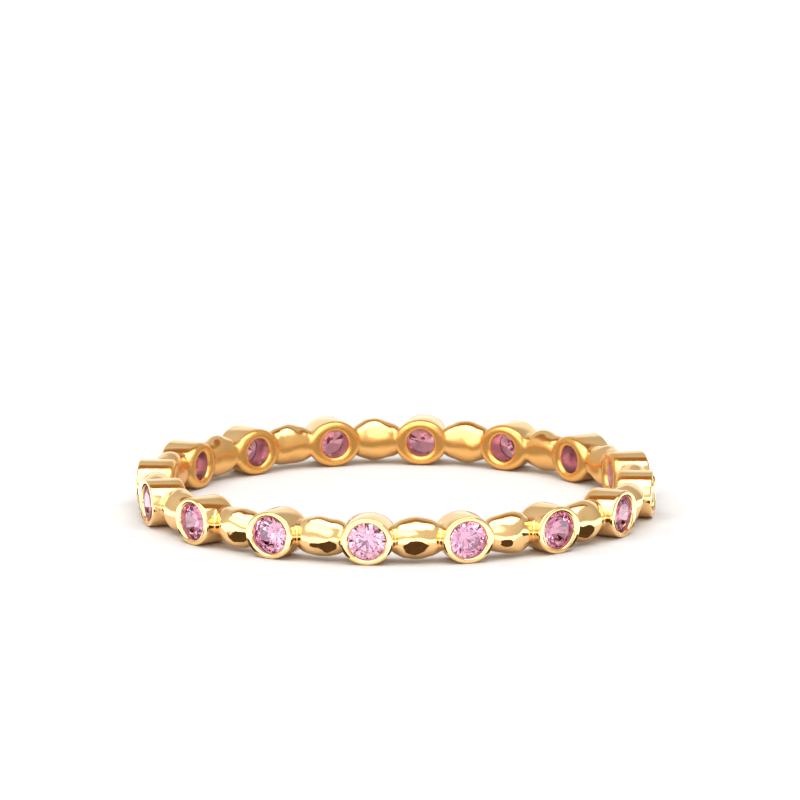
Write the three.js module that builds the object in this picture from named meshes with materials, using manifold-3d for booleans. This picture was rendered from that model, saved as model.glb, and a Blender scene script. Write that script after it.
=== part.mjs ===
// A slim stacking ring: sixteen round stones in open-backed cups, with a plain bead between each two cups.
// The band is one soldered piece of metal, and every stone is a piece of its own.
// Sizes are millimetres. The ring lies on its side: its axis is Z and it rests on z = 0.
import * as THREE from 'three';
import Module from 'manifold-3d';
import { ConvexGeometry } from 'three/addons/geometries/ConvexGeometry.js';
import { mergeVertices } from 'three/addons/utils/BufferGeometryUtils.js';

const wasm = await Module();
wasm.setup();

// The hoop
const fingerHole = 17.2; // diameter of the hole for the finger
const stoneCount = 16; // stones and cups, and as many beads

// The stones, cut as round brilliants
const stoneDiameter = 1.5;
const crownHeight = 0.225; // from the girdle up to the table
const girdleHeight = 0.05;
const pavilionDepth = 0.645; // from the girdle down to the point
const cut = { table: 0.57, star: 0.76, lower: 0.25 }; // diameters of the cut, as shares of the stone's

// The cups
const lipOverlap = 0.04; // how far the rim is pressed over the stone's edge
const rimSide = 0.31; // width of the rim on the two sides that face the beads
const rimEdge = 0.2; // width of the rim at the band's two edges
const rimRounding = 0.05;
const tableRecess = 0.05; // how far the rim stands above the stone's table
const seatClearance = 0.04; // between a stone and its cup, all round
const backHole = 1.08; // diameter of the open back behind a stone
const backFlare = 0.1; // how much wider a cup is at the finger than at its rim, along the band
const backRounding = 0.14; // rounding of the cup's edge where it lies on the finger
const culetCover = 0.48; // from the stone's point to the finger

// The beads
const beadHeight = 1.72; // along the ring's axis, at the bead's middle
const beadRecess = 0.04; // how far its crest lies below the rims
const beadRelief = 0.02; // how far it stands back from the finger
const neckHeight = 0.9; // the same three sizes for the neck, where the bead runs into a cup
const neckRecess = 0.43;
const neckRelief = 0.18;
const neckReach = 0.5; // how far the neck runs on inside the cup
const beadSections = [
  { along: 0, swell: 1 },
  { along: 0.24, swell: 0.9 },
  { along: 0.48, swell: 0.62 },
  { along: 0.7, swell: 0.19 },
  { along: 1, swell: 0 },
]; // from a bead's middle to its end: share of its half length, and share of the way from neck to crest

// Facets round each shape, and how far a cutting shape runs on past the metal
const cupSides = 20;
const boreSides = 16;
const beadSides = 12;
const overrun = 1;

// Worked out from the sizes above
const pitch = (2 * Math.PI) / stoneCount;
const innerRadius = fingerHole / 2;
const stoneRadius = stoneDiameter / 2;
const bandThickness = culetCover + pavilionDepth + girdleHeight + crownHeight + tableRecess;
const rimRadius = innerRadius + bandThickness;
const girdleTop = rimRadius - tableRecess - crownHeight;
const girdleBottom = girdleTop - girdleHeight;
const openingRadius = stoneRadius - lipOverlap;
const cupHeight = 2 * (openingRadius + rimEdge);
const cupWidth = 2 * (openingRadius + rimSide);

const gold = new THREE.MeshStandardMaterial({ name: 'gold', color: 0xe3b56a, roughness: 0.12, metalness: 1 });
const gem = new THREE.MeshStandardMaterial({ name: 'pink_stone', color: 0xd877b8, roughness: 0.03, metalness: 0 });

// A closed three.js geometry as a solid that can be joined and cut
function solid(geometry) {
  const bare = geometry.clone();
  bare.deleteAttribute('normal');
  bare.deleteAttribute('uv');
  const merged = mergeVertices(bare, 1e-6);
  return new wasm.Manifold(new wasm.Mesh({
    numProp: 3,
    vertProperties: new Float32Array(merged.attributes.position.array),
    triVerts: new Uint32Array(merged.index.array),
  }));
}

// A joined solid as a three.js geometry again
function geometryOf(manifold) {
  const mesh = manifold.getMesh();
  const geometry = new THREE.BufferGeometry();
  geometry.setAttribute('position', new THREE.BufferAttribute(new Float32Array(mesh.vertProperties), 3));
  geometry.setIndex(new THREE.BufferAttribute(new Uint32Array(mesh.triVerts), 1));
  geometry.computeVertexNormals();
  return geometry;
}

// Every cell is made on the +Y side, then turned round Z. The first one faces -Y, the front.
function turned(geometry, steps) {
  return geometry.clone().rotateZ(Math.PI + steps * pitch);
}

// How wide a cup is along the band, at one distance from the ring's axis
function cupWidthAt(radius) {
  return cupWidth + (backFlare * (rimRadius - radius)) / bandThickness;
}

// A cup's outside: a round post along Y with a flat side at each edge of the band. It is oval across, and a
// little wider along the band at the finger than at its rim.
function cupGeometry() {
  const corner = cupHeight / 2 / Math.cos(Math.PI / cupSides);
  const backEdge = corner - backRounding;
  const halfway = Math.SQRT1_2 * backRounding;
  const profile = [
    new THREE.Vector2(0, innerRadius),
    new THREE.Vector2(backEdge, innerRadius),
    new THREE.Vector2(backEdge + halfway, innerRadius + backRounding - halfway),
    new THREE.Vector2(corner, innerRadius + backRounding),
    new THREE.Vector2(corner, rimRadius - rimRounding),
    new THREE.Vector2(corner - rimRounding, rimRadius),
    new THREE.Vector2(0, rimRadius),
  ];
  const geometry = new THREE.LatheGeometry(profile, cupSides, Math.PI / cupSides);
  const place = geometry.attributes.position;
  for (let i = 0; i < place.count; i += 1) {
    place.setX(i, (place.getX(i) * cupWidthAt(place.getY(i))) / cupHeight);
  }
  return geometry;
}

// What is bored out of a cup: the mouth, the seat under the lip, and the open back
function boreGeometry() {
  const facet = Math.cos(Math.PI / boreSides);
  const mouth = openingRadius / facet;
  const seat = (stoneRadius + seatClearance) / facet;
  const back = backHole / 2 / facet;
  const crownSlope = crownHeight / (stoneRadius * (1 - cut.table));
  const pavilionSlope = pavilionDepth / stoneRadius;
  const lipUnderside = girdleTop + seatClearance;
  const seatBottom = girdleBottom - seatClearance;
  const profile = [
    new THREE.Vector2(0, innerRadius - overrun),
    new THREE.Vector2(back, innerRadius - overrun),
    new THREE.Vector2(back, seatBottom - (seat - back) * pavilionSlope),
    new THREE.Vector2(seat, seatBottom),
    new THREE.Vector2(seat, lipUnderside),
    new THREE.Vector2(mouth, lipUnderside + (seat - mouth) * crownSlope),
    new THREE.Vector2(mouth, rimRadius + overrun),
    new THREE.Vector2(0, rimRadius + overrun),
  ];
  return new THREE.LatheGeometry(profile, boreSides, 0);
}

// A bead: nearly a ball, between two cups along X, that runs on into both as a neck close to the finger
function beadGeometry() {
  const middle = (innerRadius + rimRadius) / 2;
  const halfLength = middle * Math.tan(pitch / 2) - cupWidthAt(middle) / 2 + neckReach;
  const stations = beadSections.slice(1).reverse().map((row) => ({ along: -row.along, swell: row.swell }));
  stations.push(...beadSections);
  const profile = stations.map((row) => new THREE.Vector2(1, row.along * halfLength));
  profile.unshift(new THREE.Vector2(0, -halfLength));
  profile.push(new THREE.Vector2(0, halfLength));
  const geometry = new THREE.LatheGeometry(profile, beadSides, Math.PI / beadSides);
  geometry.rotateZ(-Math.PI / 2);
  const place = geometry.attributes.position;
  for (let i = 0; i < place.count; i += 1) {
    const swell = swellAt(stations, place.getX(i) / halfLength);
    const height = THREE.MathUtils.lerp(neckHeight, beadHeight, swell);
    const inside = innerRadius + THREE.MathUtils.lerp(neckRelief, beadRelief, swell);
    const outside = rimRadius - THREE.MathUtils.lerp(neckRecess, beadRecess, swell);
    place.setY(i, (inside + outside + place.getY(i) * (outside - inside)) / 2);
    place.setZ(i, (place.getZ(i) * height) / 2);
  }
  return geometry;
}

// The swell of the station at one place along a bead
function swellAt(stations, along) {
  const nearest = stations.reduce((best, row) => {
    const closer = Math.abs(row.along - along) < Math.abs(best.along - along);
    return closer ? row : best;
  });
  return nearest.swell;
}

// The whole band: cups and beads joined, then all the cups bored
function bandGeometry() {
  const cup = cupGeometry();
  const bead = beadGeometry();
  const bore = boreGeometry();
  const metal = [];
  const bores = [];
  for (let i = 0; i < stoneCount; i += 1) {
    metal.push(solid(turned(cup, i)), solid(turned(bead, i + 0.5)));
    bores.push(solid(turned(bore, i)));
  }
  return geometryOf(wasm.Manifold.union(metal).subtract(wasm.Manifold.union(bores)));
}

// A round brilliant with its table up the +Y axis and the top of its girdle at y = 0. The points of the stars
// and of the lower facets lie in the planes of the main facets, so every kite is flat.
function stoneGeometry() {
  const eighth = Math.PI / 4;
  const half = Math.cos(eighth / 2);
  const table = stoneRadius * cut.table;
  const star = stoneRadius * cut.star;
  const lower = stoneRadius * cut.lower;
  const starHeight = (crownHeight * (stoneRadius - star * half)) / (stoneRadius - table);
  const lowerDepth = pavilionDepth * (1 - (lower * half) / stoneRadius);
  const points = [new THREE.Vector3(0, -girdleHeight - pavilionDepth, 0)];
  const add = (radius, angle, height) => {
    points.push(new THREE.Vector3(radius * Math.sin(angle), height, radius * Math.cos(angle)));
  };
  for (let i = 0; i < 8; i += 1) {
    const main = i * eighth;
    const between = main + eighth / 2;
    add(table, main, crownHeight);
    add(star, between, starHeight);
    add(lower, between, -girdleHeight - lowerDepth);
    for (const angle of [main, between]) {
      add(stoneRadius, angle, 0);
      add(stoneRadius, angle, -girdleHeight);
    }
  }
  return new ConvexGeometry(points);
}

// The ring, lifted so that its lower edge lies on z = 0
const ring = new THREE.Group();
ring.position.z = cupHeight / 2;

const band = new THREE.Mesh(bandGeometry(), gold);
band.name = 'band';
ring.add(band);

const stoneShape = stoneGeometry();
for (let i = 0; i < stoneCount; i += 1) {
  const angle = Math.PI + i * pitch;
  const stone = new THREE.Mesh(stoneShape, gem);
  stone.name = `stone_${String(i + 1).padStart(2, '0')}`;
  stone.position.set(-girdleTop * Math.sin(angle), girdleTop * Math.cos(angle), 0);
  stone.rotation.z = angle;
  ring.add(stone);
}

export default ring;
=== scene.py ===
import math

import bpy
from mathutils import Matrix, Vector


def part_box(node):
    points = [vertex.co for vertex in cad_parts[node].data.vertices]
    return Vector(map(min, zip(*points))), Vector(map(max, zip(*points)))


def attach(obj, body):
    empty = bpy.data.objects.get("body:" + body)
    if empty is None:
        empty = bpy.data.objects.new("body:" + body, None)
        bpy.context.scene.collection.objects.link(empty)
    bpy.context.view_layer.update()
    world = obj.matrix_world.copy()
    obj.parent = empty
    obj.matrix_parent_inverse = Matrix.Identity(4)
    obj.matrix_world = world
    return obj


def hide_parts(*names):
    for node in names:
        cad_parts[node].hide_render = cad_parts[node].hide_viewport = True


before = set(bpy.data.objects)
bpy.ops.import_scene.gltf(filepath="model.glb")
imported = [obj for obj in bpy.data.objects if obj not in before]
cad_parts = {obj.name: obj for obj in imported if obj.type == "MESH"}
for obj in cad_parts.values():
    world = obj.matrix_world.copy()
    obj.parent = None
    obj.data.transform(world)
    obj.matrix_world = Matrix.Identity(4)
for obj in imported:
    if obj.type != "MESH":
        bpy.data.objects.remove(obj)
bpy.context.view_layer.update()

# Units. The frame is in metres, and the work bench below is in millimetres.
MM = 0.001

# Sizes that come from the frame, in millimetres
band_low, band_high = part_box("band")
BOX_CLEARANCE = 0.002
RIM_RADIUS = (band_high[0] - band_low[0]) / 2 / MM - BOX_CLEARANCE
BAND_WIDTH = (band_high[2] - band_low[2]) / MM
HALF_WIDTH = BAND_WIDTH / 2 - BOX_CLEARANCE
stone_low, stone_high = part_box("stone_01")
STONE_RADIUS = (stone_high[0] - stone_low[0]) / 2 / MM
TABLE_RADIUS = -stone_low[1] / MM
STONE_NODES = sorted(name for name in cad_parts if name.startswith("stone_"))
STONE_COUNT = len(STONE_NODES)
PITCH = 2 * math.pi / STONE_COUNT

# The stone's crown and girdle, and the gap to its seat, in millimetres
CROWN_HEIGHT = 0.225
GIRDLE_HEIGHT = 0.05
PAVILION_SLOPE = 0.86
SEAT_GAP = 0.04
GIRDLE_TOP = TABLE_RADIUS - CROWN_HEIGHT

# The cup, in millimetres. Heights are measured outwards from the ring's axis.
FINGER_RADIUS = 8.6
RIM_SIDE = 0.31
LIP_OVERLAP = 0.04
BACK_FLARE = 0.1
MOUTH_RADIUS = STONE_RADIUS - LIP_OVERLAP
SEAT_RADIUS = STONE_RADIUS + SEAT_GAP
BACK_RADIUS = 0.54
SEAT_TOP = GIRDLE_TOP + SEAT_GAP
LIP_HEIGHT = SEAT_TOP + 0.02
SEAT_BOTTOM = SEAT_TOP - GIRDLE_HEIGHT - 2 * SEAT_GAP
CONE_BOTTOM = SEAT_BOTTOM - (SEAT_RADIUS - BACK_RADIUS) * PAVILION_SLOPE
RIM_ROUNDING = 0.07
MOUTH_ROUNDING = 0.1
EDGE_ROUNDING = 0.2
BACK_ROUNDING = 0.14
CUP_STEPS = 88

# Loops of edges up to this far outside a hole of the cup belong to the hole, and the rest to its outside.
NEAR_HOLE = 0.05
BEYOND_CUP = 2

# The bead, in millimetres: its crest, the neck at each end of it, and how it swells from one to the other
CREST_HALF_HEIGHT = 0.885
CREST_RADIUS = RIM_RADIUS - 0.01
CREST_FINGER_RADIUS = FINGER_RADIUS + 0.01
NECK_HALF_HEIGHT = 0.45
NECK_RADIUS = 9.63
NECK_FINGER_RADIUS = 8.78
BEAD_HALF_LENGTH = 1.02
BEAD_FULLNESS = 2
BEAD_STATIONS = (0, 0.18, 0.36, 0.54, 0.72, 0.88, 1, 1.3)
BEAD_STEPS = 18
BEAD_SMOOTHING = 2
BEAD_END = SEAT_RADIUS + 0.05

# The uneven beads. A reach is where the wear starts and where it is full, as shares of the way from a cup's
# middle to a bead's.
WEAR_REACH = (0.4, 1)
WEAR_DEPTH = 0.11
WEAR_SIZE = 0.9
FILED_REACH = (0.56, 0.8)
FILED_DEPTH = 0.13
FILED_SIZE = 1.1
FILED_MIDDLE = 0.5
EVENING_PASSES = 2

# Millimetres within which points are taken as one, and the sharpest edge that is shaded smooth
SAME_HEIGHT = 1e-4
SAME_CUT = 1e-5
SAME_POINT = 2e-4
SMOOTH_ANGLE = math.radians(32)

# The metal: its own colours, and a deeper colour painted near the finger as shade from light bouncing
# inside the ring; how far that painted shade and the satin reach out from the finger, how rough it is, its
# waves, and how wide it is drawn rounded where a bead meets a cup
GOLD = (1.0, 0.67, 0.31)
WARM_GOLD = (0.975, 0.61, 0.26)
INNER_SHADE_GOLD = (0.92, 0.48, 0.13)
INNER_SHADE_REACH = 0.6
SATIN_REACH = 0.5
SATIN_ROUGHNESS = 0.24
POLISHED_ROUGHNESS = 0.03
HAZE_ROUGHNESS = 0.06
WAVE_DEPTH = 0.0015
FILLET = 0.24
RIM_FILLET = 0.08
RIM_FILLET_START = RIM_RADIUS - 0.1
# The seat under a stone: two pinkish golds, painted as the stone's pink light reflected in the metal
SEAT_PALE_ROSE_REFLECTION = (0.97, 0.77, 0.76)
SEAT_ROSE_REFLECTION = (0.92, 0.66, 0.68)

# The stones: their colours at three shares of the way from the ring's front to its middle, painted palest
# at the front and deepest at the sides as light and shade, how clouds deepen them, the painted shade below
# the girdle, and how they mirror, swallow and bend light
GEM_LIT_TO_SHADED_RUN = ((0.03, (1.0, 0.9, 0.98)), (0.11, (0.89, 0.56, 0.73)), (0.52, (0.76, 0.38, 0.43)))
GEM_CLOUD = (0.94, 0.84, 0.88)
GEM_SHADE_BELOW = (0.74, 0.48, 0.5)
GEM_SHEEN = (1, 0.72, 0.92)
GEM_BODY = (0.94, 0.38, 0.64)
GEM_DENSITY = 520
GEM_IOR = 2.16
GEM_ROUGHNESS = 0.02

# The camera. The photograph's frame is 800 by 800, and the ring's middle lies at RING_PIXEL in it.
IMAGE_WIDTH = 800
RING_PIXEL = (396, 488)
PIXELS_PER_MM = 25.75
CAMERA_DISTANCE = 0.45
CAMERA_AZIMUTH = 6.4
CAMERA_ELEVATION = 11.5
SENSOR = 36
RING_CENTRE = Vector((0, 0, BAND_WIDTH / 2 * MM))

# Lights and cards. Distances and sizes are metres, and directions are degrees round from the camera and up.
LIGHT_DISTANCE = 0.5
WHITE = (1, 1, 1)
SPARKS = ((-70, 30), (-35, 62), (-22, 24), (18, 48), (44, 24), (75, 55))
SPARK_COLOUR = (1, 0.97, 0.99)

# Cards on the floor, in millimetres
CARD_HEIGHT = 0.01
CARD_STEPS = 96
INNER_CARD_RADIUS = 8.3
BRIGHT_CARD_HOLE = 11.4
BRIGHT_CARD_RADIUS = 30

# The dark cards, which stand in for the ring's shadow on the floor so that the beads mirror a painted
# shadow,
# in millimetres: half widths along and away from the band, distance from the ring's axis, and shift to the
# camera
DARK_SIZES = ((1.2, 1.65), (0.85, 1.35), (1.1, 1.7), (0.75, 1.2), (1.15, 1.5))
DARK_RADIUS = 11.35
DARK_SHIFT = 0.5
DARK_HEIGHT = 0.02
DARK_STEPS = 13
DARK_RAGGEDNESS = 0.16


# Small helpers for working on one object at a time

def pick(piece):
    """Makes one object the only selected and active one."""
    bpy.ops.object.select_all(action="DESELECT")
    piece.select_set(True)
    bpy.context.view_layer.objects.active = piece


def select_edges(piece, test):
    """In edit mode, selects each edge whose two ends both pass the test."""
    bpy.ops.object.mode_set(mode="OBJECT")
    mesh = piece.data
    for face in mesh.polygons:
        face.select = False
    for vertex in mesh.vertices:
        vertex.select = False
    for edge in mesh.edges:
        edge.select = all(test(mesh.vertices[i].co) for i in edge.vertices)
    bpy.ops.object.mode_set(mode="EDIT")
    bpy.ops.mesh.select_mode(type="EDGE")


def apply_all(piece):
    """Applies every modifier of a piece, in order."""
    pick(piece)
    for modifier in list(piece.modifiers):
        bpy.ops.object.modifier_apply(modifier=modifier.name)


def outward(piece):
    """Turns all faces of a closed piece outwards."""
    pick(piece)
    bpy.ops.object.mode_set(mode="EDIT")
    bpy.ops.mesh.select_all(action="SELECT")
    bpy.ops.mesh.normals_make_consistent(inside=False)
    bpy.ops.object.mode_set(mode="OBJECT")


def combine(piece, other, operation):
    """Joins, or cuts away, another closed piece, which is then removed."""
    modifier = piece.modifiers.new(operation.lower(), "BOOLEAN")
    modifier.operation = operation
    modifier.solver = "EXACT"
    modifier.object = other
    apply_all(piece)
    bpy.data.objects.remove(other)


def copy_of(piece, name):
    """A copy with its own mesh."""
    copy = piece.copy()
    copy.data = piece.data.copy()
    copy.name = name
    bpy.context.collection.objects.link(copy)
    return copy


# The cup

def cup_half_widths(height):
    """The cup's half sizes along and across the band at one height: it widens a little to the finger."""
    depth = (RIM_RADIUS - height) / (RIM_RADIUS - FINGER_RADIUS)
    return MOUTH_RADIUS + RIM_SIDE + BACK_FLARE / 2 * depth, HALF_WIDTH


def make_cup():
    """One cup: a ring of metal drawn round its section from the rim, through the seat, to the open back."""
    section = [
        (RIM_RADIUS, *cup_half_widths(RIM_RADIUS)),
        (RIM_RADIUS, MOUTH_RADIUS, MOUTH_RADIUS),
        (LIP_HEIGHT, MOUTH_RADIUS, MOUTH_RADIUS),
        (SEAT_TOP, SEAT_RADIUS, SEAT_RADIUS),
        (SEAT_BOTTOM, SEAT_RADIUS, SEAT_RADIUS),
        (CONE_BOTTOM, BACK_RADIUS, BACK_RADIUS),
        (FINGER_RADIUS, BACK_RADIUS, BACK_RADIUS),
        (FINGER_RADIUS, *cup_half_widths(FINGER_RADIUS)),
    ]
    height, along, across = section[0]
    bpy.ops.mesh.primitive_circle_add(vertices=CUP_STEPS, radius=1, location=(0, 0, 0))
    cup = bpy.context.object
    cup.name = "cup"
    bpy.ops.object.mode_set(mode="EDIT")
    bpy.ops.transform.resize(value=(along, across, 1))
    bpy.ops.transform.translate(value=(0, 0, height))
    for next_height, next_along, next_across in section[1:]:
        bpy.ops.mesh.extrude_region_move(TRANSFORM_OT_translate={"value": (0, 0, next_height - height)})
        bpy.ops.transform.resize(value=(next_along / along, next_across / across, 1))
        height, along, across = next_height, next_along, next_across
    bpy.ops.mesh.select_mode(type="EDGE")
    bpy.ops.mesh.select_all(action="DESELECT")
    bpy.ops.mesh.select_non_manifold()
    bpy.ops.mesh.bridge_edge_loops()
    bpy.ops.object.mode_set(mode="OBJECT")
    outward(cup)
    mouth_loops = MOUTH_RADIUS + NEAR_HOLE
    back_loops = BACK_RADIUS + NEAR_HOLE
    round_edges(cup, RIM_RADIUS, mouth_loops, BEYOND_CUP, RIM_ROUNDING, segments=4)
    round_edges(cup, RIM_RADIUS, 0, mouth_loops, MOUTH_ROUNDING, segments=4)
    round_edges(cup, FINGER_RADIUS, back_loops, BEYOND_CUP, EDGE_ROUNDING, segments=5)
    round_edges(cup, FINGER_RADIUS, 0, back_loops, BACK_ROUNDING, segments=4)
    cup.data.materials.append(gold_material())
    cup.data.materials.append(seat_material())
    # The faces under the stone get the seat's metal, with its painted rose reflection.
    for face in cup.data.polygons:
        around = math.hypot(face.center.x, face.center.y)
        within = FINGER_RADIUS + BACK_ROUNDING < face.center.z < RIM_RADIUS - MOUTH_ROUNDING
        if around < SEAT_RADIUS and within:
            face.material_index = 1
    return cup


def round_edges(piece, height, nearest, farthest, width, segments):
    """Rounds the loops of edges at one height whose distance from the cup's axis is in a range."""
    pick(piece)

    def on_loop(place):
        distance = math.hypot(place.x, place.y)
        return abs(place.z - height) < SAME_HEIGHT and nearest < distance < farthest

    bpy.ops.object.mode_set(mode="EDIT")
    select_edges(piece, on_loop)
    bpy.ops.mesh.bevel(offset=width, segments=segments, profile=0.5, affect="EDGES")
    bpy.ops.object.mode_set(mode="OBJECT")


# The bead

def bead_section(place):
    """Half height, half thickness and middle radius of a bead, at one place along it."""
    swell = max(1 - abs(place / BEAD_HALF_LENGTH) ** BEAD_FULLNESS, 0)
    high = NECK_HALF_HEIGHT + (CREST_HALF_HEIGHT - NECK_HALF_HEIGHT) * swell
    outside = NECK_RADIUS + (CREST_RADIUS - NECK_RADIUS) * swell
    inside = NECK_FINGER_RADIUS + (CREST_FINGER_RADIUS - NECK_FINGER_RADIUS) * swell
    return high, (outside - inside) / 2, (outside + inside) / 2


def make_bead():
    """One bead, lying along X: nearly a ball, drawn from end to end with a neck at each end, and smoothed.

    Smoothing draws its loops in, and they start larger by as much.
    """
    far = [BEAD_HALF_LENGTH * share for share in BEAD_STATIONS[1:]]
    places = [-place for place in reversed(far)] + [0] + far
    kept_by_smoothing = (2 + math.cos(2 * math.pi / BEAD_STEPS)) / 3
    high, thick, middle = bead_section(places[0])
    bpy.ops.mesh.primitive_circle_add(
        vertices=BEAD_STEPS, radius=1 / kept_by_smoothing, fill_type="NGON",
        location=(places[0], 0, middle), rotation=(0, math.pi / 2, 0))
    bead = bpy.context.object
    bead.name = "bead"
    bpy.ops.object.transform_apply(location=True, rotation=True, scale=True)
    bpy.ops.object.mode_set(mode="EDIT")
    bpy.ops.mesh.select_all(action="SELECT")
    bpy.ops.transform.resize(value=(1, high, thick), center_override=(places[0], 0, middle))
    for before, place in zip(places, places[1:]):
        next_high, next_thick, next_middle = bead_section(place)
        step = (place - before, 0, next_middle - middle)
        bpy.ops.mesh.extrude_region_move(TRANSFORM_OT_translate={"value": step})
        bpy.ops.transform.resize(
            value=(1, next_high / high, next_thick / thick), center_override=(place, 0, next_middle))
        high, thick, middle = next_high, next_thick, next_middle
    bpy.ops.object.mode_set(mode="OBJECT")
    outward(bead)
    smoothing = bead.modifiers.new("smoothing", "SUBSURF")
    smoothing.levels = smoothing.render_levels = BEAD_SMOOTHING
    apply_all(bead)
    return bead


# The band

def make_cell():
    """One cup with half a bead on each side of it, cut off at the middles of the beads."""
    cup = make_cup()
    bead = make_bead()
    for side in (-1, 1):
        neighbour = copy_of(bead, "neighbour")
        neighbour.data.transform(Matrix.Rotation(side * PITCH / 2, 4, "Y"))
        bpy.ops.mesh.primitive_cylinder_add(
            vertices=CUP_STEPS, radius=BEAD_END, depth=6, location=(0, 0, (FINGER_RADIUS + RIM_RADIUS) / 2))
        combine(neighbour, bpy.context.object, "DIFFERENCE")
        combine(cup, neighbour, "UNION")
    bpy.data.objects.remove(bead)
    pick(cup)
    bpy.ops.object.mode_set(mode="EDIT")
    for side in (-1, 1):
        bpy.ops.mesh.select_all(action="SELECT")
        normal = (side * math.cos(PITCH / 2), 0, -math.sin(PITCH / 2))
        bpy.ops.mesh.bisect(plane_co=(0, 0, 0), plane_no=normal, clear_outer=True, threshold=SAME_CUT)
    bpy.ops.object.mode_set(mode="OBJECT")
    return cup


def group_beads(band, name, start, end):
    """A vertex group of the beads alone. It grows between two shares of the way to a bead's middle."""
    group = band.vertex_groups.new(name=name)
    for vertex in band.data.vertices:
        turn = math.atan2(vertex.co.y, vertex.co.x) / PITCH
        away = 2 * abs(turn - round(turn))
        share = min(max((away - start) / (end - start), 0), 1)
        group.add([vertex.index], share * share * (3 - 2 * share), "REPLACE")
    return group.name


def displace(band, texture, group, middle, strength):
    """Moves a group of vertices in and out by a texture."""
    modifier = band.modifiers.new(texture.name, "DISPLACE")
    modifier.texture = texture
    modifier.texture_coords = "LOCAL"
    modifier.vertex_group = group
    modifier.mid_level = middle
    modifier.strength = strength


def wear_beads(band):
    """Makes each bead a little uneven, with soft planes, as if filed by hand. The cups stay."""
    strokes = bpy.data.textures.new("strokes", "VORONOI")
    strokes.distance_metric = "DISTANCE_SQUARED"
    strokes.noise_scale = FILED_SIZE
    filed = group_beads(band, "filed", *FILED_REACH)
    displace(band, strokes, filed, middle=FILED_MIDDLE, strength=FILED_DEPTH)
    evened = band.modifiers.new("evened", "SMOOTH")
    evened.vertex_group = filed
    evened.iterations = EVENING_PASSES
    hills = bpy.data.textures.new("hills", "CLOUDS")
    hills.noise_scale = WEAR_SIZE
    hills.noise_depth = 0
    displace(band, hills, group_beads(band, "worn", *WEAR_REACH), middle=1, strength=WEAR_DEPTH)
    apply_all(band)
    band.vertex_groups.clear()


def make_band():
    """The whole band: cells set side by side round the hoop, welded, and worn."""
    cell = make_cell()
    cell.data.transform(Matrix.Rotation(math.pi / 2, 4, "X"))
    cells = [cell]
    for i in range(1, STONE_COUNT):
        turned = copy_of(cell, "cell")
        turned.data.transform(Matrix.Rotation(i * PITCH, 4, "Z"))
        cells.append(turned)
    pick(cell)
    for other in cells:
        other.select_set(True)
    bpy.ops.object.join()
    band = bpy.context.object
    band.name = "polished_band"
    bpy.ops.object.mode_set(mode="EDIT")
    bpy.ops.mesh.select_all(action="SELECT")
    bpy.ops.mesh.remove_doubles(threshold=SAME_POINT)
    bpy.ops.mesh.normals_make_consistent(inside=False)
    bpy.ops.object.mode_set(mode="OBJECT")
    wear_beads(band)
    band.data.transform(Matrix.Translation((0, 0, BAND_WIDTH / 2)))
    band.data.transform(Matrix.Scale(MM, 4))
    pick(band)
    bpy.ops.object.shade_smooth_by_angle(angle=SMOOTH_ANGLE)
    return band


# Short ways to make the nodes of a material

def new_material(name):
    """A material, its node tree, and the inputs of its Principled shader."""
    material = bpy.data.materials.new(name)
    material.use_nodes = True
    tree = material.node_tree
    return material, tree, tree.nodes["Principled BSDF"].inputs


def give_colour(tree, socket, colour):
    """Sets an input to a colour, or links it to another node's colour."""
    if isinstance(colour, tuple):
        socket.default_value = (*colour, 1)
    else:
        tree.links.new(colour, socket)


def own_place(tree):
    """A place on the object, in its own units."""
    return tree.nodes.new("ShaderNodeTexCoord").outputs["Object"]


def scaled(tree, place, scale):
    """A place with its three coordinates scaled."""
    mapping = tree.nodes.new("ShaderNodeMapping")
    mapping.inputs["Scale"].default_value = scale
    tree.links.new(place, mapping.inputs["Vector"])
    return mapping.outputs["Vector"]


def bench_place(tree):
    """A place on the ring, in millimetres."""
    return scaled(tree, own_place(tree), (1 / MM, 1 / MM, 1 / MM))


def from_axis(tree, place):
    """How far a place is from the ring's axis."""
    flat = tree.nodes.new("ShaderNodeVectorMath")
    flat.operation = "MULTIPLY"
    flat.inputs[1].default_value = (1, 1, 0)
    tree.links.new(place, flat.inputs[0])
    length = tree.nodes.new("ShaderNodeVectorMath")
    length.operation = "LENGTH"
    tree.links.new(flat.outputs["Vector"], length.inputs[0])
    return length.outputs["Value"]


def noise(tree, place, scale, detail):
    """Soft clouds, from 0 to 1."""
    clouds = tree.nodes.new("ShaderNodeTexNoise")
    clouds.inputs["Scale"].default_value = scale
    clouds.inputs["Detail"].default_value = detail
    tree.links.new(place, clouds.inputs["Vector"])
    return clouds.outputs["Fac"]


def ranged(tree, value, start, end, steps="LINEAR"):
    """Takes a value from one range to another, and stops at its ends."""
    change = tree.nodes.new("ShaderNodeMapRange")
    change.interpolation_type = steps
    change.inputs["From Min"].default_value, change.inputs["From Max"].default_value = start
    change.inputs["To Min"].default_value, change.inputs["To Max"].default_value = end
    tree.links.new(value, change.inputs["Value"])
    return change.outputs["Result"]


def added(tree, first, second):
    """The sum of two values."""
    total = tree.nodes.new("ShaderNodeMath")
    total.operation = "ADD"
    tree.links.new(first, total.inputs[0])
    tree.links.new(second, total.inputs[1])
    return total.outputs["Value"]


def mixed(tree, share, first, second, blend="MIX"):
    """Two colours, mixed by a share of the second."""
    mix = tree.nodes.new("ShaderNodeMix")
    mix.data_type = "RGBA"
    mix.blend_type = blend
    tree.links.new(share, mix.inputs["Factor"])
    give_colour(tree, mix.inputs["A"], first)
    give_colour(tree, mix.inputs["B"], second)
    return mix.outputs["Result"]


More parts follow.
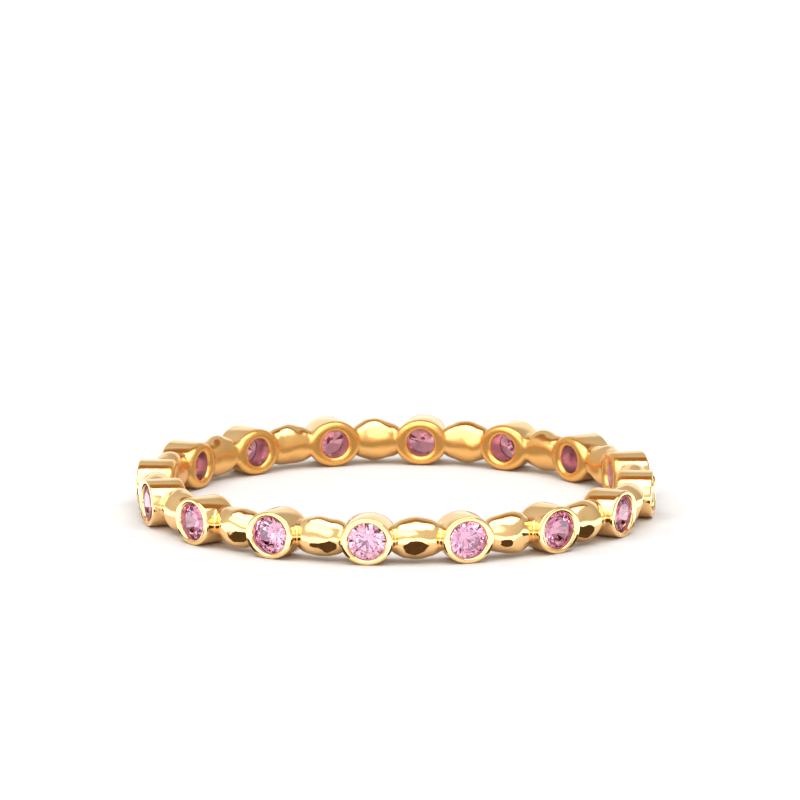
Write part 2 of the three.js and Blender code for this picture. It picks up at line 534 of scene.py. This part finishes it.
def ramp(tree, share, stops):
    """The colour at one share of a run of colours. Every stop is a share and its colour."""
    run = tree.nodes.new("ShaderNodeValToRGB")
    colours = run.color_ramp.elements
    for place, colour in stops:
        colours.new(place).color = (*colour, 1)
    colours.remove(colours[0])
    colours.remove(colours[-1])
    tree.links.new(share, run.inputs["Fac"])
    return run.outputs["Color"]


def rounded_normal(tree, radius):
    """The surface as if its edges were rounded by a radius."""
    fillet = tree.nodes.new("ShaderNodeBevel")
    fillet.samples = 8
    tree.links.new(radius, fillet.inputs["Radius"])
    return fillet.outputs["Normal"]


def bumped(tree, height, distance, normal):
    """A surface that is raised by a height from 0 to 1 times a distance."""
    bump = tree.nodes.new("ShaderNodeBump")
    bump.inputs["Strength"].default_value = 1
    bump.inputs["Distance"].default_value = distance
    tree.links.new(height, bump.inputs["Height"])
    tree.links.new(normal, bump.inputs["Normal"])
    return bump.outputs["Normal"]


# Materials

def gold_material():
    """Polished yellow gold with faint waves, less glossy near the finger, and painted deeper in colour
    there as shade.

    Where a bead meets a cup, light falls on it as on a soft bend.
    """
    material, tree, shader = new_material("polished_gold")
    place = bench_place(tree)
    radius = from_axis(tree, place)
    unshaded = mixed(tree, noise(tree, place, scale=0.8, detail=2), GOLD, WARM_GOLD)
    # Painted shade: the colour deepens towards the finger, as if light bounced between the gold inside the
    # ring.
    depth = ranged(tree, radius, (FINGER_RADIUS, FINGER_RADIUS + INNER_SHADE_REACH), (1, 0))
    tree.links.new(mixed(tree, depth, unshaded, INNER_SHADE_GOLD), shader["Base Color"])
    satin = ranged(
        tree, radius, (FINGER_RADIUS, FINGER_RADIUS + SATIN_REACH), (SATIN_ROUGHNESS, POLISHED_ROUGHNESS))
    haze = ranged(tree, noise(tree, place, scale=3, detail=4), (0, 1), (0, HAZE_ROUGHNESS))
    tree.links.new(added(tree, satin, haze), shader["Roughness"])
    softness = ranged(tree, radius, (NECK_RADIUS, RIM_FILLET_START), (FILLET * MM, RIM_FILLET * MM))
    waves = noise(tree, place, scale=9, detail=3)
    normal = bumped(tree, waves, WAVE_DEPTH * MM, rounded_normal(tree, softness))
    tree.links.new(normal, shader["Normal"])
    shader["Metallic"].default_value = 1
    return material


def seat_material():
    """The metal under a stone: left matt, and painted rosy as the stone's pink light reflected in it."""
    material, tree, shader = new_material("matt_seat_rose_reflection")
    grain = noise(tree, bench_place(tree), scale=6, detail=2)
    tree.links.new(mixed(tree, grain, SEAT_PALE_ROSE_REFLECTION, SEAT_ROSE_REFLECTION), shader["Base Color"])
    shader["Metallic"].default_value = 1
    shader["Roughness"].default_value = 0.3
    return material


def gem_material():
    """Clear pink stone, deeper where light goes a long way through it, and painted darker and rosier below
    its girdle as shade in its cup.

    It is painted palest at the front of the ring, and deepest at the sides and behind, as light and shade
    by where each stone sits.
    """
    material, tree, shader = new_material("clear_pink_stone")
    place = bench_place(tree)
    radius = from_axis(tree, place)
    cloud = noise(tree, place, scale=1.4, detail=1)
    axes = tree.nodes.new("ShaderNodeSeparateXYZ")
    tree.links.new(place, axes.inputs["Vector"])
    # Painted light and shade: the stones' colour runs from pale at the ring's front to deep at its sides
    # and behind.
    behind = ranged(tree, axes.outputs["Y"], (-TABLE_RADIUS, 0), (0, 1))
    crown = mixed(tree, cloud, ramp(tree, behind, GEM_LIT_TO_SHADED_RUN), GEM_CLOUD, "MULTIPLY")
    # Painted shade: the stone is darker and rosier below its girdle, where it sits in its cup.
    below = ranged(tree, radius, (GIRDLE_TOP, GIRDLE_TOP - GIRDLE_HEIGHT), (0, 1))
    tree.links.new(mixed(tree, below, crown, GEM_SHADE_BELOW), shader["Base Color"])
    tree.links.new(ranged(tree, cloud, (0, 1), (0, GEM_ROUGHNESS)), shader["Roughness"])
    shader["IOR"].default_value = GEM_IOR
    shader["Specular Tint"].default_value = (*GEM_SHEEN, 1)
    shader["Transmission Weight"].default_value = 1
    body = tree.nodes.new("ShaderNodeVolumeAbsorption")
    body.inputs["Color"].default_value = (*GEM_BODY, 1)
    body.inputs["Density"].default_value = GEM_DENSITY
    tree.links.new(body.outputs["Volume"], tree.nodes["Material Output"].inputs["Volume"])
    return material


def card_material(name, colour, radiance, reach, fade, grain):
    """A card with a cloudy glow, that fades out towards its edge and is gone at its reach."""
    material, tree, shader = new_material(name)
    shader["Base Color"].default_value = (0, 0, 0, 1)
    shader["Specular IOR Level"].default_value = 0
    shader["Emission Color"].default_value = (*colour, 1)
    place = own_place(tree)
    cloud = noise(tree, place, scale=grain, detail=2)
    glow = ranged(tree, cloud, (0.3, 0.7), (0.85 * radiance, 1.15 * radiance))
    tree.links.new(glow, shader["Emission Strength"])
    gradient = tree.nodes.new("ShaderNodeTexGradient")
    gradient.gradient_type = "SPHERICAL"
    tree.links.new(scaled(tree, place, (1 / reach, 1 / reach, 1)), gradient.inputs["Vector"])
    edge = ranged(tree, gradient.outputs["Fac"], (0, fade), (0, 1), "SMOOTHSTEP")
    tree.links.new(edge, shader["Alpha"])
    return material


# Stage, light and camera

def make_stage():
    """A wide floor of matt white paper."""
    paper, _, shader = new_material("white_paper")
    shader["Base Color"].default_value = (0.66, 0.66, 0.66, 1)
    shader["Roughness"].default_value = 0.8
    bpy.ops.mesh.primitive_plane_add(size=4, location=(0, 0, 0))
    floor = bpy.context.object
    floor.name = "floor"
    floor.data.materials.append(paper)


def aimed(location, target):
    """The rotation that points a lamp or camera from one place at another."""
    return (Vector(target) - Vector(location)).to_track_quat("-Z", "Y").to_euler()


def direction(azimuth, elevation):
    """The way from the ring to a place so many degrees round it from the camera, and above the floor."""
    turn, rise = math.radians(CAMERA_AZIMUTH + azimuth), math.radians(elevation)
    return Vector((math.sin(turn) * math.cos(rise), -math.cos(turn) * math.cos(rise), math.sin(rise)))


def light_place(azimuth, elevation):
    """The place of a light or card in one direction from the ring."""
    return RING_CENTRE + direction(azimuth, elevation) * LIGHT_DISTANCE


def make_tent():
    """A white tent round everything, brighter before the ring than behind it."""
    world = bpy.data.worlds.new("white_tent")
    world.use_nodes = True
    tree = world.node_tree
    background = tree.nodes["Background"].inputs
    side = tree.nodes.new("ShaderNodeVectorMath")
    side.operation = "DOT_PRODUCT"
    side.inputs[1].default_value = direction(-25, 35)
    tree.links.new(tree.nodes.new("ShaderNodeTexCoord").outputs["Generated"], side.inputs[0])
    tree.links.new(ranged(tree, side.outputs["Value"], (-1, 1), (0.35, 0.98)), background["Strength"])
    background["Color"].default_value = (1, 0.985, 0.96, 1)
    bpy.context.scene.world = world


def hang_light(name, azimuth, elevation, width, depth, radiance):
    """A soft light aimed at the ring."""
    lamp = bpy.data.lights.new(name, "AREA")
    lamp.shape = "RECTANGLE"
    lamp.size = width
    lamp.size_y = depth
    lamp.energy = radiance * math.pi * width * depth
    light = bpy.data.objects.new(name, lamp)
    light.location = light_place(azimuth, elevation)
    light.rotation_euler = aimed(light.location, RING_CENTRE)
    light.visible_camera = False
    bpy.context.collection.objects.link(light)


def hide_card(card):
    """Only polished metal and stones see a card: it neither shows nor lights the floor."""
    card.visible_camera = False
    card.visible_diffuse = False
    card.visible_shadow = False


def hang_card(name, azimuth, elevation, size, colour, radiance, fade):
    """A soft-edged card that hangs in the tent and faces the ring."""
    place = light_place(azimuth, elevation)
    bpy.ops.mesh.primitive_plane_add(size=1, location=place, rotation=aimed(place, RING_CENTRE))
    card = bpy.context.object
    card.name = name
    card.scale = (size[0], size[1], 1)
    card.data.materials.append(card_material(name, colour, radiance, reach=0.5, fade=fade, grain=3))
    hide_card(card)


def hang_for_stones(name, azimuth, elevation, width, radiance):
    """A card that only the stones see: a small bright one makes facets flash, a dark one deepens them."""
    hang_card(name, azimuth, elevation, (width, width), SPARK_COLOUR, radiance, fade=0.2)
    bpy.context.object.visible_glossy = False


def lay_inner_card():
    """A dim warm card on the floor inside the ring, standing in for the shaded floor there, which the
    inside of its far half mirrors as painted shade.
    """
    radius = INNER_CARD_RADIUS * MM
    bpy.ops.mesh.primitive_circle_add(
        vertices=CARD_STEPS, radius=radius, fill_type="NGON", location=(0, 0, CARD_HEIGHT * MM))
    card = bpy.context.object
    card.name = "inner_shade_card"
    # A dim warm glow: painted shade for the inside of the ring to mirror.
    card.data.materials.append(
        card_material("inner_shade_card", (1, 0.9, 0.76), radiance=0.5, reach=radius, fade=0.15, grain=200))
    hide_card(card)


def lay_bright_card():
    """A white card with a hole, laid on the floor round the ring, which the flat rims mirror."""
    inner, outer = BRIGHT_CARD_HOLE * MM, BRIGHT_CARD_RADIUS * MM
    bpy.ops.mesh.primitive_circle_add(vertices=CARD_STEPS, radius=outer, location=(0, 0, CARD_HEIGHT * MM))
    card = bpy.context.object
    card.name = "bright_card"
    bpy.ops.object.mode_set(mode="EDIT")
    bpy.ops.mesh.extrude_region_move()
    bpy.ops.transform.resize(value=(inner / outer, inner / outer, 1))
    bpy.ops.object.mode_set(mode="OBJECT")
    card.data.materials.append(
        card_material("bright_card", WHITE, radiance=2.6, reach=outer, fade=0.4, grain=150))
    hide_card(card)
    card.visible_transmission = False


def lay_dark_cards():
    """A small dark card on the floor before each bead, standing in for the ring's shadow there, which the
    bead's lower half mirrors as a painted shadow.

    No two beads in a row have the same card, and those at the sides have theirs nearer the camera.
    """
    cards = []
    for i in range(STONE_COUNT):
        half_width, half_depth = DARK_SIZES[i % len(DARK_SIZES)]
        turn = (i + 0.5) * PITCH
        away = turn - math.radians(CAMERA_AZIMUTH)
        sideways = -DARK_SHIFT * math.sin(2 * away) if math.cos(away) > 0 else 0
        middle = Matrix.Rotation(turn, 3, "Z") @ Vector((sideways, -DARK_RADIUS, 0)) * MM
        bpy.ops.mesh.primitive_circle_add(
            vertices=DARK_STEPS, radius=MM, fill_type="NGON", rotation=(0, 0, turn))
        card = bpy.context.object
        card.location = (middle.x, middle.y, DARK_HEIGHT * MM)
        card.scale = (half_width, half_depth, 1)
        cards.append(card)
    for card in cards:
        card.select_set(True)
    bpy.ops.object.transform_apply(location=True, rotation=True, scale=True)
    bpy.ops.object.join()
    card = bpy.context.object
    card.name = "shadow_reflection_cards"
    bpy.ops.object.mode_set(mode="EDIT")
    bpy.ops.mesh.select_all(action="SELECT")
    bpy.ops.transform.vertex_random(offset=DARK_RAGGEDNESS * MM, seed=4)
    bpy.ops.transform.resize(value=(1, 1, 0), center_override=(0, 0, DARK_HEIGHT * MM))
    bpy.ops.object.mode_set(mode="OBJECT")
    # The cards glow dimly amber: the painted shadow that the beads mirror.
    card.data.materials.append(
        card_material("shadow_reflection_card", (1, 0.66, 0.38), radiance=0.1, reach=1, fade=0.01, grain=1800))
    hide_card(card)


def make_light():
    """A white tent with a soft light above, and cards round the ring for metal and stones to mirror."""
    make_tent()
    hang_light("top_light", azimuth=0, elevation=84, width=0.72, depth=0.48, radiance=2.8)
    hang_card("front_softbox", -28, 36, size=(1.1, 0.6), colour=WHITE, radiance=2.6, fade=0.5)
    for azimuth, elevation in SPARKS:
        hang_for_stones("spark", azimuth, elevation, width=0.075, radiance=28)
    hang_for_stones("dark_shade", 0, 14, width=0.28, radiance=0.03)
    hang_card("back_softbox", 178, 16, size=(1.3, 0.4), colour=WHITE, radiance=1.15, fade=0.5)
    # An amber card overhead, which the bead crests mirror as a painted amber reflection.
    hang_card("amber_reflection_card", 0, 103, size=(1.2, 0.32), colour=(0.6, 0.3, 0.09), radiance=0.6, fade=0.4)
    lay_inner_card()
    lay_bright_card()
    lay_dark_cards()
    bpy.context.scene.view_settings.view_transform = "Standard"


def make_camera():
    """A long lens at the photograph's angle to the ring."""
    view_width = IMAGE_WIDTH / PIXELS_PER_MM * MM
    pixel = view_width / IMAGE_WIDTH
    turn = math.radians(CAMERA_AZIMUTH)
    back = direction(0, CAMERA_ELEVATION)
    right = Vector((math.cos(turn), math.sin(turn), 0))
    up = back.cross(right)
    shift_right = (IMAGE_WIDTH / 2 - RING_PIXEL[0]) * pixel
    shift_up = (RING_PIXEL[1] - IMAGE_WIDTH / 2) * pixel
    aim = RING_CENTRE + right * shift_right + up * shift_up
    lens = bpy.data.cameras.new("camera")
    lens.sensor_width = SENSOR
    lens.lens = SENSOR * CAMERA_DISTANCE / view_width
    lens.clip_start = 0.01
    lens.clip_end = 20
    camera = bpy.data.objects.new("camera", lens)
    camera.location = aim + back * CAMERA_DISTANCE
    camera.rotation_euler = aimed(camera.location, aim)
    bpy.context.collection.objects.link(camera)
    bpy.context.scene.camera = camera


make_camera()
make_stage()
make_light()

band = make_band()
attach(band, "root")
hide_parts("band")

gem = gem_material()
for name in STONE_NODES:
    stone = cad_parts[name]
    stone.data.materials.clear()
    stone.data.materials.append(gem)
